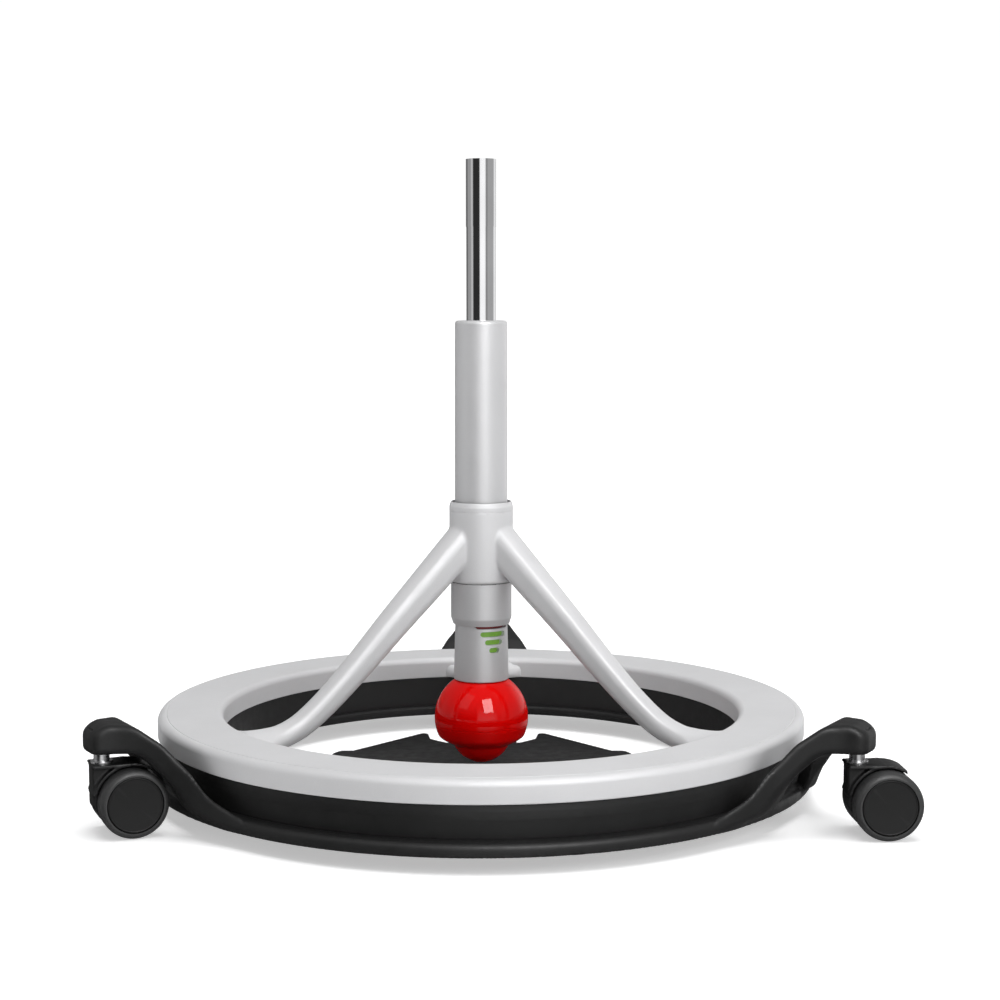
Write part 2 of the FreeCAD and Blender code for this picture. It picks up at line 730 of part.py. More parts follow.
def castor_body():
    """Housing between the wheels with a hood that rises to the stem."""
    nose = CASTOR_TRAIL + 18
    web = slab([
        (HOOD_BACK, 22.0, 4.0),
        (HOOD_BACK, HOOD_TOP, 1.5),
        (9.0, HOOD_TOP, 6.0),
        (CASTOR_TRAIL + 7, HOOD_TOP - 1.5, 14.0),
        (nose, 38.0, 14.0),
        (nose, 14.0, 12.0),
        (CASTOR_TRAIL, 6.5, 14.0),
        (2.0, 10.0, 10.0),
    ], WEB_HALF_WIDTH)
    hood = slab([
        (HOOD_BACK, HOOD_TOP - HOOD_THICKNESS),
        (HOOD_BACK, HOOD_TOP - 0.1, 1.0),
        (9.0, HOOD_TOP - 0.1),
        (HOOD_FRONT, HOOD_TOP - 0.4),
        (HOOD_FRONT, HOOD_TOP - HOOD_THICKNESS),
    ], HOOD_HALF_WIDTH)
    body = web.fuse(hood)
    axle_hole = axle_cylinder(AXLE_RADIUS, HOOD_HALF_WIDTH + 1)
    stem_hole = cylinder(STEM_RADIUS, STEM_BOTTOM, HOOD_TOP + 1)
    return body.cut(axle_hole).cut(stem_hole)


def axle_cylinder(radius, half_length):
    base = Vector(CASTOR_TRAIL, -half_length, WHEEL_RADIUS)
    return Part.makeCylinder(radius, 2 * half_length, base, Vector(0, 1, 0))


def axle():
    return axle_cylinder(AXLE_RADIUS, WHEEL_BORE_END - 0.5)


def castor_stem():
    """Steel stem with a collar that shows between the housing and the arm head."""
    return turned([
        (0.0, STEM_BOTTOM),
        (STEM_RADIUS, STEM_BOTTOM),
        (STEM_RADIUS, HOOD_TOP),
        (STEM_COLLAR_RADIUS, HOOD_TOP, 0.3),
        (STEM_COLLAR_RADIUS, HOOD_TOP + STEM_COLLAR_HEIGHT, 0.3),
        (STEM_RADIUS, HOOD_TOP + STEM_COLLAR_HEIGHT),
        (STEM_RADIUS, STEM_TOP, 1.0),
        (0.0, STEM_TOP),
    ])


def on_axle(outline, side):
    """Turn a (radius, distance from mid-plane) outline about the axle, on one side."""
    piece = turned(outline)
    piece.rotate(ORIGIN, Vector(1, 0, 0), -90.0 * side)
    piece.translate(Vector(CASTOR_TRAIL, 0, WHEEL_RADIUS))
    return piece


def wheel(side):
    """Wheel core with a flat outer cap and a blind bore for the axle."""
    bore = AXLE_RADIUS + RUNNING_GAP
    rim = WHEEL_RADIUS - TREAD_THICKNESS
    cap = WHEEL_OUTER_FACE - CAP_RECESS
    return on_axle([
        (bore, WHEEL_INNER_FACE),
        (rim, WHEEL_INNER_FACE),
        (rim, cap, 0.8),
        (0.0, cap),
        (0.0, WHEEL_BORE_END),
        (bore, WHEEL_BORE_END),
    ], side)


def tread(side):
    """Soft tread round the wheel core, standing a little proud of its cap."""
    rim = WHEEL_RADIUS - TREAD_THICKNESS
    return on_axle([
        (rim, WHEEL_INNER_FACE),
        (WHEEL_RADIUS, WHEEL_INNER_FACE, 2.0),
        (WHEEL_RADIUS, WHEEL_OUTER_FACE, 3.2),
        (rim, WHEEL_OUTER_FACE, 0.6),
    ], side)


def castor_pieces(place):
    """Name and make the pieces of one castor at its stem, trailing the way it stands."""
    pieces = {
        "castor_body_" + place: castor_body(),
        "castor_stem_" + place: castor_stem(),
        "castor_axle_" + place: axle(),
    }
    for label, side in (("a", 1), ("b", -1)):
        pieces["wheel_" + label + "_" + place] = wheel(side)
        pieces["tread_" + label + "_" + place] = tread(side)
    azimuth = math.radians(LEG_AZIMUTHS[place])
    stem = Vector(math.cos(azimuth), math.sin(azimuth), 0) * STEM_CIRCLE_RADIUS
    placed = {}
    for name, shape in pieces.items():
        shape = turned_to(shape, CASTOR_TRAIL_AZIMUTHS[place])
        shape.translate(stem)
        placed[name] = shape
    return placed


# ---- the whole base --------------------------------------------------------------------------

def all_pieces():
    pieces = {
        "foot_ring": foot_ring(),
        "base_ring": base_ring(),
        "carrier_ring": carrier_ring(),
        "ring_screws": Part.makeCompound(at_screws(ring_screw())),
        "centre_plate": centre_plate(),
        "hub": hub(),
        "sway_bush": sway_bush(),
        "column_tube": column_tube(),
        "bearing_collar": bearing_collar(),
        "column_sleeve": column_sleeve(),
        "guide_bush": guide_bush(),
        "lower_cup": lower_cup(),
        "end_plate": end_plate(),
        "piston_rod": piston_rod(),
        "rod_clip": rod_clip(),
        "thrust_bearing": thrust_bearing(),
        "piston": piston(),
        "pressure_tube": pressure_tube(),
        "rod_seal": rod_seal(),
        "valve_body": valve_body(),
        "release_pin": release_pin(),
        "indicator_sleeve": indicator_sleeve(),
        "green_band": green_band(),
        "red_band": red_band(),
        "ball_upper": ball_upper(),
        "adjusting_nut": adjusting_nut(),
        "ball_lower": ball_lower(),
        "ball_nose": ball_nose(),
    }
    sockets = []
    for place, azimuth in LEG_AZIMUTHS.items():
        pieces["castor_arm_" + place] = turned_to(castor_arm(), azimuth)
        pieces["strut_" + place] = turned_to(strut(), azimuth)
        sockets.append(turned_to(stem_socket(), azimuth))
        pieces.update(castor_pieces(place))
    pieces["stem_sockets"] = Part.makeCompound(sockets)
    return pieces


os.makedirs("parts", exist_ok=True)
for name, shape in all_pieces().items():
    if not shape.isValid() or shape.Volume <= 0:
        raise ValueError(name + " is not a valid solid")
    print(name, len(shape.Solids), "solid(s)", round(shape.Volume / 1000, 2), "cm3")
    shape.exportStep("parts/" + name + ".step")
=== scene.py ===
import json
import math

import bmesh
import bpy
import numpy as np
from mathutils import Matrix, Vector


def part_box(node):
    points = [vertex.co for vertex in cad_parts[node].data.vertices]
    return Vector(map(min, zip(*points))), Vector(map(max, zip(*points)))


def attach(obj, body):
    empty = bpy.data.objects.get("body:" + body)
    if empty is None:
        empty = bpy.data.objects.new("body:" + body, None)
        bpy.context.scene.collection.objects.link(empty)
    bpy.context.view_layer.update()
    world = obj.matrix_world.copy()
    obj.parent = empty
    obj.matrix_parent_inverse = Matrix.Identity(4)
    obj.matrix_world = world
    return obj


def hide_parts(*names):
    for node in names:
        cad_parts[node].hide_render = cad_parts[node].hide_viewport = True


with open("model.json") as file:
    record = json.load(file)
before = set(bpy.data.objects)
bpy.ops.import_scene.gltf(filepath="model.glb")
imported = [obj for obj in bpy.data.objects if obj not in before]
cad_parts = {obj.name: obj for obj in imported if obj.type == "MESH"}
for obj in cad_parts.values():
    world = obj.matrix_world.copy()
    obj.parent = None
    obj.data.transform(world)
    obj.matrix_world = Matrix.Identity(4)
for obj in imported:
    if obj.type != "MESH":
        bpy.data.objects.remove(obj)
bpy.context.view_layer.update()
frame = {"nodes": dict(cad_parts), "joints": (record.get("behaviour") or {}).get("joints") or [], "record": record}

# Outlines are in millimetres and meshes in metres.  A castor is drawn with its stem on the Z
# axis and its wheels trailing along +X; a leg of the base is drawn on the +X axis.
MM = 0.001
THIRD_TURN = math.radians(120.0)
SIN_60 = 0.866
SHARP_ANGLE = math.radians(38.0)
PLACES = ("rear", "front_left", "front_right")
JOINTS = {joint["name"]: joint for joint in frame["joints"]}


# ---- measures taken from the frame -------------------------------------------------------------

def corners(node):
    """Lowest and highest corners of a CAD node in millimetres."""
    low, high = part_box(node)
    return low / MM, high / MM


def stem_of(place):
    """Point on the axis of a castor's stem, in metres."""
    return Vector(JOINTS["castor_swivel_" + place]["pos_m"])


def castor_matrix(place):
    """Place a castor drawn at the origin on its stem, trailing the way it stands."""
    stem = stem_of(place)
    trail = Vector(JOINTS["wheel_a_spin_" + place]["pos_m"]) - stem
    turn = Matrix.Rotation(math.atan2(trail.y, trail.x), 4, "Z")
    return Matrix.Translation((stem.x, stem.y, 0.0)) @ turn


def leg_azimuth(place):
    """Direction of a leg of the base, seen from above."""
    stem = stem_of(place)
    return math.atan2(stem.y, stem.x)


RING_LOW, RING_HIGH = corners("foot_ring")
BAND_LOW, BAND_HIGH = corners("carrier_ring")
HUB_RADIUS, HUB_TOP = corners("hub")[1].xz
UPPER_LOW, UPPER_HIGH = corners("ball_upper")
NOSE_BOTTOM = corners("ball_nose")[0].z
RING_INNER_RADIUS = 196.0
BAND_INNER_RADIUS = 191.5
STEM_CIRCLE = (stem_of("rear").to_2d() / MM).length
AXLE_HEIGHT = JOINTS["wheel_a_spin_rear"]["pos_m"][2] / MM
TRAIL = (Vector(JOINTS["wheel_a_spin_rear"]["pos_m"]) - stem_of("rear")).to_2d().length / MM
SWAY_HEIGHT = JOINTS["sway_about_x"]["pos_m"][2] / MM


# ---- outlines ----------------------------------------------------------------------------------

def rounded(points, steps=6):
    """Closed outline whose corners with a third value are rounded to that radius."""
    outline = []
    for index, point in enumerate(points):
        here = Vector(point[:2])
        if len(point) == 2:
            outline.append(tuple(here))
            continue
        before = (Vector(points[index - 1][:2]) - here).normalized()
        after = (Vector(points[(index + 1) % len(points)][:2]) - here).normalized()
        half = before.angle(after) / 2
        centre = here + (before + after).normalized() * point[2] / math.sin(half)
        start = here + before * point[2] / math.tan(half) - centre
        end = here + after * point[2] / math.tan(half) - centre
        for step in range(steps + 1):
            ray = start.lerp(end, step / steps).normalized() * point[2]
            outline.append(tuple(centre + ray))
    return outline


def mirrored(edge):
    """Close an edge that starts and ends on the X axis with its mirror image."""
    return edge + [(p[0], -p[1]) + tuple(p[2:]) for p in reversed(edge[1:-1])]


# ---- distance fields, negative inside -----------------------------------------------------------

def polygon(a, b, outline):
    """Signed distance from points (a, b) to a closed outline."""
    nearest = np.full(a.shape, np.inf)
    inside = np.zeros(a.shape, bool)
    for (ax, ay), (bx, by) in zip(outline, outline[1:] + outline[:1]):
        ex, ey = bx - ax, by - ay
        length = ex * ex + ey * ey
        if length < 1e-12:
            continue
        wx, wy = a - ax, b - ay
        along = np.clip((wx * ex + wy * ey) / length, 0, 1)
        nearest = np.minimum(nearest, (wx - ex * along) ** 2 + (wy - ey * along) ** 2)
        if ey:
            inside ^= ((ay > b) != (by > b)) & (wx < ex * wy / ey)
    return np.where(inside, -1.0, 1.0) * np.sqrt(nearest)


def join(a, b, radius):
    """Union with a fillet."""
    return np.maximum(radius, np.minimum(a, b)) - np.hypot(
        np.maximum(radius - a, 0), np.maximum(radius - b, 0))


def overlap(a, b, radius):
    """Intersection with a rounded edge."""
    return np.minimum(-radius, np.maximum(a, b)) + np.hypot(
        np.maximum(radius + a, 0), np.maximum(radius + b, 0))


def cut(a, b, radius):
    """Take b away from a and round the edge."""
    return overlap(a, -b, radius)


# ---- meshes ------------------------------------------------------------------------------------

def surface_net(field, low, high, step):
    """Points and quads of the surface where a field passes through zero."""
    axes = [np.arange(a, b + step, step) for a, b in zip(low, high)]
    grid = np.meshgrid(*axes, indexing="ij")
    values = field(*(g.ravel() for g in grid)).reshape(grid[0].shape)
    inside = values < 0
    shape = np.array(inside.shape)
    cells = shape - 1
    box = [(i, j, k) for i in (0, 1) for j in (0, 1) for k in (0, 1)]
    count = sum(inside[i:i + cells[0], j:j + cells[1], k:k + cells[2]].astype(np.int8)
                for i, j, k in box)
    active = (count > 0) & (count < len(box))
    index = np.full(active.shape, -1)
    index[active] = np.arange(active.sum())
    cell = np.argwhere(active)
    total = np.zeros((len(cell), 3))
    hits = np.zeros(len(cell))
    for a in box:
        for b in box:
            if sum(b) - sum(a) != 1 or any(q < p for p, q in zip(a, b)):
                continue
            va = values[tuple((cell + a).T)]
            vb = values[tuple((cell + b).T)]
            crosses = (va < 0) != (vb < 0)
            share = np.where(crosses, va / np.where(crosses, va - vb, 1), 0)
            total += crosses[:, None] * (np.array(a) + share[:, None] * (np.array(b) - a))
            hits += crosses
    points = np.array(low) + step * (cell + total / hits[:, None])
    quads = []
    unit = np.eye(3, dtype=int)
    for axis in range(3):
        side, other = unit[(axis + 1) % 3], unit[(axis + 2) % 3]
        first = np.take(inside, range(shape[axis] - 1), axis)
        edge = np.argwhere(first != np.take(inside, range(1, shape[axis]), axis))
        room = (edge * (side + other) > 0).sum(1) + (edge < cells).dot(side + other)
        edge = edge[room == 4]
        ring = [index[tuple((edge - back).T)] for back in (side + other, other, 0 * side, side)]
        ring = np.stack(ring, 1)
        leaving = first[tuple(edge.T)]
        quads.append(np.where(leaving[:, None], ring, ring[:, ::-1]))
    return settle(points, field, step), np.concatenate(quads)


def settle(points, field, step, rounds=5, probe=0.05):
    """Move points along the field's slope until they lie on its surface."""
    for _ in range(rounds):
        x, y, z = points.T
        slope = np.stack([
            field(x + probe, y, z) - field(x - probe, y, z),
            field(x, y + probe, z) - field(x, y - probe, z),
            field(x, y, z + probe) - field(x, y, z - probe),
        ], 1) / (2 * probe)
        steep = np.maximum((slope ** 2).sum(1), 0.2)
        move = -(field(x, y, z) / steep)[:, None] * slope
        points = points + np.clip(move, -step / 2, step / 2)
    return points


def smooth_mesh(name, points, faces):
    """Make a mesh from millimetre points, smooth but for its sharp edges."""
    mesh = bpy.data.meshes.new(name)
    mesh.from_pydata((np.asarray(points) * MM).tolist(), [], [list(map(int, f)) for f in faces])
    mesh.shade_smooth()
    mesh.set_sharp_from_angle(angle=SHARP_ANGLE)
    return mesh


def show(name, mesh, body, material, replaced=(), place=None):
    """Put a mesh in the scene as a piece that rides on a body."""
    piece = bpy.data.objects.new(name, mesh)
    bpy.context.scene.collection.objects.link(piece)
    if place is not None:
        piece.matrix_world = place
    mesh.materials.clear()
    mesh.materials.append(material)
    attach(piece, body)
    if replaced:
        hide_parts(*replaced)
    return piece


def lathe(name, points, segments=192, steps=6):
    """Turn a closed (radius, height) outline about the Z axis."""
    outline = rounded(points, steps)
    rows = []
    verts = []
    for radius, height in outline:
        if radius < 1e-6:
            rows.append([len(verts)] * segments)
            verts.append((0.0, 0.0, height))
            continue
        rows.append(range(len(verts), len(verts) + segments))
        for k in range(segments):
            angle = 2 * math.pi * k / segments
            verts.append((radius * math.cos(angle), radius * math.sin(angle), height))
    faces = []
    for row, following in zip(rows, rows[1:] + rows[:1]):
        for k in range(segments):
            m = (k + 1) % segments
            face = list(dict.fromkeys((row[k], row[m], following[m], following[k])))
            if len(face) > 2:
                faces.append(face)
    mesh = smooth_mesh(name, verts, faces)
    outward(mesh)
    return mesh


def outward(mesh):
    """Turn every face of a closed mesh to face outward."""
    work = bmesh.new()
    work.from_mesh(mesh)
    bmesh.ops.recalc_face_normals(work, faces=work.faces)
    work.to_mesh(mesh)
    work.free()


def three_legs(name, field, low, high, step):
    """Mesh one third of a threefold shape, trim it on the planes between legs and repeat it."""
    points, quads = surface_net(field, low, high, step)
    mesh = smooth_mesh(name, points, quads)
    work = bmesh.new()
    work.from_mesh(mesh)
    for side in (1, -1):
        angle = side * THIRD_TURN / 2
        outside = Vector((-math.sin(angle), math.cos(angle), 0.0)) * side
        everything = work.verts[:] + work.edges[:] + work.faces[:]
        bmesh.ops.bisect_plane(work, geom=everything, dist=1e-8, plane_co=(0, 0, 0),
                               plane_no=outside, clear_outer=True)
    start = leg_azimuth("rear")
    bmesh.ops.rotate(work, verts=work.verts, matrix=Matrix.Rotation(start, 3, "Z"))
    wedge = work.verts[:] + work.edges[:] + work.faces[:]
    for turn in (1, 2):
        copy = bmesh.ops.duplicate(work, geom=wedge)["geom"]
        verts = [item for item in copy if isinstance(item, bmesh.types.BMVert)]
        bmesh.ops.rotate(work, verts=verts, matrix=Matrix.Rotation(turn * THIRD_TURN, 3, "Z"))
    bmesh.ops.remove_doubles(work, verts=work.verts, dist=0.00004)
    work.to_mesh(mesh)
    work.free()
    mesh.shade_smooth()
    mesh.set_sharp_from_angle(angle=SHARP_ANGLE)
    return mesh


# ---- materials ---------------------------------------------------------------------------------

class Finish:
    """Node material on a Principled shader, with noise in object space."""

    def __init__(self, name):
        self.material = bpy.data.materials.new(name)
        self.material.use_nodes = True
        self.tree = self.material.node_tree
        self.shader = self.tree.nodes["Principled BSDF"]
        self.coordinates = self.tree.nodes.new("ShaderNodeTexCoord")

    def set(self, **values):
        """Give shader sockets a plain value; an underscore stands for a space."""
        for socket, value in values.items():
            self.shader.inputs[socket.replace("_", " ")].default_value = value
        return self

    def link(self, output, target):
        self.tree.links.new(output, target)

    def noise(self, scale, detail=3.0, roughness=0.55, stretch=(1.0, 1.0, 1.0)):
        mapping = self.tree.nodes.new("ShaderNodeMapping")
        mapping.inputs["Scale"].default_value = stretch
        node = self.tree.nodes.new("ShaderNodeTexNoise")
        node.inputs["Scale"].default_value = scale
        node.inputs["Detail"].default_value = detail
        node.inputs["Roughness"].default_value = roughness
        self.link(self.coordinates.outputs["Object"], mapping.inputs["Vector"])
        self.link(mapping.outputs["Vector"], node.inputs["Vector"])
        return node.outputs["Fac"]

    def cells(self, scale):
        node = self.tree.nodes.new("ShaderNodeTexVoronoi")
        node.inputs["Scale"].default_value = scale
        self.link(self.coordinates.outputs["Object"], node.inputs["Vector"])
        return node.outputs["Color"]

    def spread(self, source, low, high, start=0.3, end=0.7):
        """Map a pattern to a range of values."""
        node = self.tree.nodes.new("ShaderNodeMapRange")
        for socket, value in (("From Min", start), ("From Max", end),
                              ("To Min", low), ("To Max", high)):
            node.inputs[socket].default_value = value
        self.link(source, node.inputs["Value"])
        return node.outputs["Result"]

    def colours(self, source, low, high, start=0.35, end=0.65):
        """Blend two colours by a pattern."""
        node = self.tree.nodes.new("ShaderNodeValToRGB")
        for element, position, colour in zip(node.color_ramp.elements, (start, end), (low, high)):
            element.position = position
            element.color = (*colour, 1.0)
        self.link(source, node.inputs["Fac"])
        return node.outputs["Color"]

    def layered(self, under, over, source, low=0.0, high=1.0):
        """Lay one colour over another by a pattern."""
        node = self.tree.nodes.new("ShaderNodeMix")
        node.data_type = "RGBA"
        self.link(self.spread(source, low, high), node.inputs["Factor"])
        self.link(under, node.inputs["A"])
        node.inputs["B"].default_value = (*over, 1.0)
        return node.outputs["Result"]

    def painted_edge_highlight(self, under, highlight_colour, start=0.52, end=0.6):
        """Painted highlight: lighten convex edges a little, as if light caught them."""
        geometry = self.tree.nodes.new("ShaderNodeNewGeometry")
        node = self.tree.nodes.new("ShaderNodeMix")
        node.data_type = "RGBA"
        share = self.spread(geometry.outputs["Pointiness"], 0.0, 0.5, start, end)
        self.link(share, node.inputs["Factor"])
        self.link(under, node.inputs["A"])
        node.inputs["B"].default_value = (*highlight_colour, 1.0)
        return node.outputs["Result"]

    def colour(self, output):
        self.link(output, self.shader.inputs["Base Color"])
        return self

    def roughness(self, output):
        self.link(output, self.shader.inputs["Roughness"])
        return self

    def bump(self, *layers):
        """Stack bumps; each layer is a pattern and its height in metres."""
        normal = None
        for pattern, height in layers:
            node = self.tree.nodes.new("ShaderNodeBump")
            node.inputs["Strength"].default_value = 1.0
            node.inputs["Distance"].default_value = height
            self.link(pattern, node.inputs["Height"])
            if normal:
                self.link(normal, node.inputs["Normal"])
            normal = node.outputs["Normal"]
        self.link(normal, self.shader.inputs["Normal"])
        return self


def grey(level):
    """Neutral grey with a trace of blue."""
    return (level, level, level * 1.015)


def silver_finish(name, level, metallic=0.24, rough=(0.53, 0.62)):
    """Satin silver paint: flakes, faint orange peel and slow changes of tone."""
    finish = Finish(name).set(Metallic=metallic)
    base = finish.colours(finish.noise(9.0, 4.0), grey(level * 0.96), grey(level * 1.03))
    flakes = finish.noise(3800.0, 2.0)
    finish.colour(finish.layered(base, grey(level * 1.18), flakes, 0.0, 0.45))
    finish.roughness(finish.spread(finish.noise(60.0, 5.0), *rough))
    orange_peel = (finish.noise(900.0, 2.0), 0.00003)
    fine_grain = (finish.noise(3500.0, 2.0), 0.00001)
    return finish.bump(orange_peel, fine_grain).material


def black_finish(name, level, rough=(0.42, 0.56), grain=2200.0, depth=0.00004):
    """Moulded black plastic: spark-eroded grain, handling marks and painted highlights on its convex edges."""
    finish = Finish(name)
    base = finish.colours(finish.noise(14.0, 5.0), grey(level * 0.85), grey(level * 1.2))
    # Paler convex edges here are a painted highlight, not wear.
    finish.colour(finish.painted_edge_highlight(base, grey(level * 2.2)))
    finish.roughness(finish.spread(finish.noise(120.0, 6.0), *rough))
    finish.set(Specular_IOR_Level=0.35)
    eroded = (finish.noise(grain, 3.0), depth)
    waves = (finish.noise(260.0, 2.0), 0.00003)
    return finish.bump(eroded, waves).material


def gloss_finish(name, colour, deep):
    """Lacquered ball: deep colour, clear coat and barely visible orange peel."""
    finish = Finish(name).set(Coat_Weight=0.6, Coat_Roughness=0.03, Specular_IOR_Level=0.0)
    finish.colour(finish.colours(finish.noise(22.0, 3.0), deep, colour))
    finish.roughness(finish.spread(finish.noise(180.0, 4.0), 0.16, 0.24))
    return finish.bump((finish.noise(420.0, 2.0), 0.000006)).material


def chrome_finish(name, level):
    """Hard chrome: fine turned lines round the tube and faint wipe marks."""
    finish = Finish(name).set(Metallic=1.0)
    finish.colour(finish.colours(finish.noise(30.0, 4.0), grey(level * 0.93), grey(level)))
    finish.roughness(finish.spread(finish.noise(45.0, 6.0), 0.05, 0.11))
    lines = finish.noise(160.0, 3.0, stretch=(1.0, 1.0, 60.0))
    return finish.bump((lines, 0.000004)).material


def steel_finish(name, level):
    """Bright zinc plate with a slightly mottled surface."""
    finish = Finish(name).set(Metallic=1.0)
    finish.colour(finish.colours(finish.cells(500.0), grey(level * 0.85), grey(level), 0.2, 0.8))
    finish.roughness(finish.spread(finish.noise(300.0, 4.0), 0.2, 0.36))
    return finish.bump((finish.noise(900.0, 3.0), 0.00001)).material


def tinted_finish(name, colour, deep):
    """Coloured moulding, satin."""
    finish = Finish(name)
    finish.colour(finish.colours(finish.noise(80.0, 4.0), deep, colour))
    finish.roughness(finish.spread(finish.noise(300.0, 4.0), 0.35, 0.5))
    return finish.bump((finish.noise(1500.0, 2.0), 0.00001)).material


def rubber_finish(name, level):
    """Matt rubber or soft tread with fine dust in its pores."""
    finish = Finish(name)
    base = finish.colours(finish.noise(35.0, 5.0), grey(level * 0.85), grey(level * 1.15))
    finish.colour(finish.layered(base, grey(level * 1.7), finish.noise(900.0, 3.0), 0.0, 0.35))
    finish.roughness(finish.spread(finish.noise(150.0, 5.0), 0.4, 0.55))
    return finish.bump((finish.noise(1600.0, 3.0), 0.00004)).material


SLOT_MATERIALS = {
    "silver_paint": silver_finish("silver_paint", 0.61),
    "silver_plastic": silver_finish("silver_plastic", 0.59, 0.36, (0.4, 0.48)),
    "black_plastic": black_finish("black_plastic", 0.012),
    "castor_plastic": black_finish("castor_plastic", 0.009, (0.45, 0.55), 2600.0, 0.00003),
    "wheel_cap": black_finish("wheel_cap", 0.006, (0.45, 0.55), 1800.0, 0.00002),
    "soft_tread": rubber_finish("soft_tread", 0.03),
    "black_steel": black_finish("black_steel", 0.02, (0.3, 0.4), 900.0, 0.00001),
    "zinc_steel": steel_finish("zinc_steel", 0.72),
    "chrome": chrome_finish("chrome", 0.82),
    "elastomer": rubber_finish("elastomer", 0.02),
    "green_plastic": tinted_finish("green_plastic", (0.24, 0.52, 0.05), (0.18, 0.42, 0.04)),
    "red_plastic": tinted_finish("red_plastic", (0.22, 0.008, 0.01), (0.16, 0.006, 0.008)),
    "red_gloss": gloss_finish("red_gloss", (0.95, 0.002, 0.001), (0.88, 0.001, 0.001)),
}


def finish_cad_nodes():
    """Give every CAD node the material of its slot."""
    for subpart in frame["record"]["subparts"]:
        node = frame["nodes"][subpart["node"]]
        node.data.materials.clear()
        node.data.materials.append(SLOT_MATERIALS[subpart["material_slot"]])


# ---- silver ring, hub and struts ----------------------------------------------------------------

def foot_ring():
    """Foot ring with a broad flat top, a fine bevel line and a soft inner edge."""
    outer, top, bottom = RING_HIGH.x, RING_HIGH.z, RING_LOW.z
    inner = RING_INNER_RADIUS
    wall = 4.5
    line = outer - 7.2
    line_depth = 0.3
    rim = top - 0.1
    mesh = lathe("foot_ring_mesh", [
        (inner, bottom, 0.8),
        (inner, top, 5.0),
        (inner + 7.0, top),
        (line, top),
        (line + 0.3, top - line_depth),
        (line + 0.7, top - line_depth),
        (line + 1.0, rim),
        (outer, rim, 5.6),
        (outer, bottom, 1.2),
        (outer - wall, bottom),
        (outer - wall, top - wall),
        (inner + wall, top - wall),
        (inner + wall, bottom),
    ], segments=288, steps=8)
    return show("foot_ring_shell", mesh, "base", SLOT_MATERIALS["silver_paint"],
                ["foot_ring"])


# Stations of a strut: radius and height of its centre, its thickness and its width.
STRUT_STATIONS = (
    (12.0, 193.0, 26.0, 27.0),
    (40.0, 165.0, 24.5, 25.5),
    (75.0, 130.5, 21.8, 22.6),
    (105.5, 99.5, 19.3, 20.2),
    (130.0, 76.5, 17.8, 19.0),
    (150.0, 61.5, 16.6, 20.4),
    (166.0, 54.8, 15.8, 24.0),
    (177.0, 53.6, 15.4, 33.0),
    (185.5, 53.3, 16.0, 48.0),
    (192.0, 53.2, 16.6, 62.0),
    (197.5, 53.2, 16.8, 86.0),
)
# Between these widths the section flattens out into the foot.
BAR_TO_FOOT = (26.0, 90.0)
BAR_TO_FLARE = (26.0, 60.0)


def strut_line(count=64):
    """Catmull-Rom curve through the strut's stations, thickness and width included."""
    stations = np.array(STRUT_STATIONS)
    padded = np.vstack([2 * stations[0] - stations[1], stations, 2 * stations[-1] - stations[-2]])
    line = []
    for u in np.linspace(0, len(stations) - 1 - 1e-6, count):
        k = int(u)
        t = u - k
        a, b, c, d = padded[k:k + 4]
        line.append(0.5 * (2 * b + (c - a) * t + (2 * a - 5 * b + 4 * c - d) * t * t
                           + (3 * b - a - 3 * c + d) * t ** 3))
    return np.array(line)


def strut_field(x, y, z, line):
    """Rounded bar along the line; two soft ridges leave a flat strip along its top."""
    nearest = np.full(x.shape, np.inf)
    rise = np.zeros(x.shape)
    thickness = np.zeros(x.shape)
    width = np.zeros(x.shape)
    for start, end in zip(line[:-1], line[1:]):
        ex, ez = end[0] - start[0], end[1] - start[1]
        length = math.hypot(ex, ez)
        wx, wz = x - start[0], z - start[1]
        share = np.clip((wx * ex + wz * ez) / length ** 2, 0, 1)
        away = (wx - ex * share) ** 2 + (wz - ez * share) ** 2
        closer = away < nearest
        nearest = np.where(closer, away, nearest)
        rise = np.where(closer, (wz * ex - wx * ez) / length, rise)
        thickness = np.where(closer, start[2] + share * (end[2] - start[2]), thickness)
        width = np.where(closer, start[3] + share * (end[3] - start[3]), width)
    beyond = np.sqrt(np.maximum(nearest - rise ** 2, 0))
    up = rise - thickness / 2
    down = -rise - thickness / 2
    across = np.abs(y) - width / 2
    steep = np.interp(width, BAR_TO_FOOT, (0.62, 0.06))
    level = np.sqrt(1.0 - steep ** 2)
    strip = np.interp(width, BAR_TO_FOOT, (6.6, 0.5))
    belly = np.interp(width, BAR_TO_FLARE, (7.0, 2.0))
    shoulder = (np.abs(y) - strip) * steep + up * level
    section = overlap(up, across, 3.0)
    section = overlap(section, shoulder, 4.0)
    section = overlap(section, down, belly)
    return np.maximum(section, beyond - 0.5)


SHOULDER_BOTTOM = 211.0
HUB_UNDERSIDE_RADIUS = 47.5
STRUT_BITE = 0.6
HUB_BORE = [(0.0, 0.0), (19.9, 0.0), (19.9, 187.0), (21.6, 187.0), (21.6, 206.0),
            (22.25, 206.0), (22.25, 230.0), (0.0, 230.0)]
CUP_SWING = [(0.0, 100.0), (32.6, 100.0), (31.6, 124.0), (28.2, 159.5), (0.0, 159.5)]


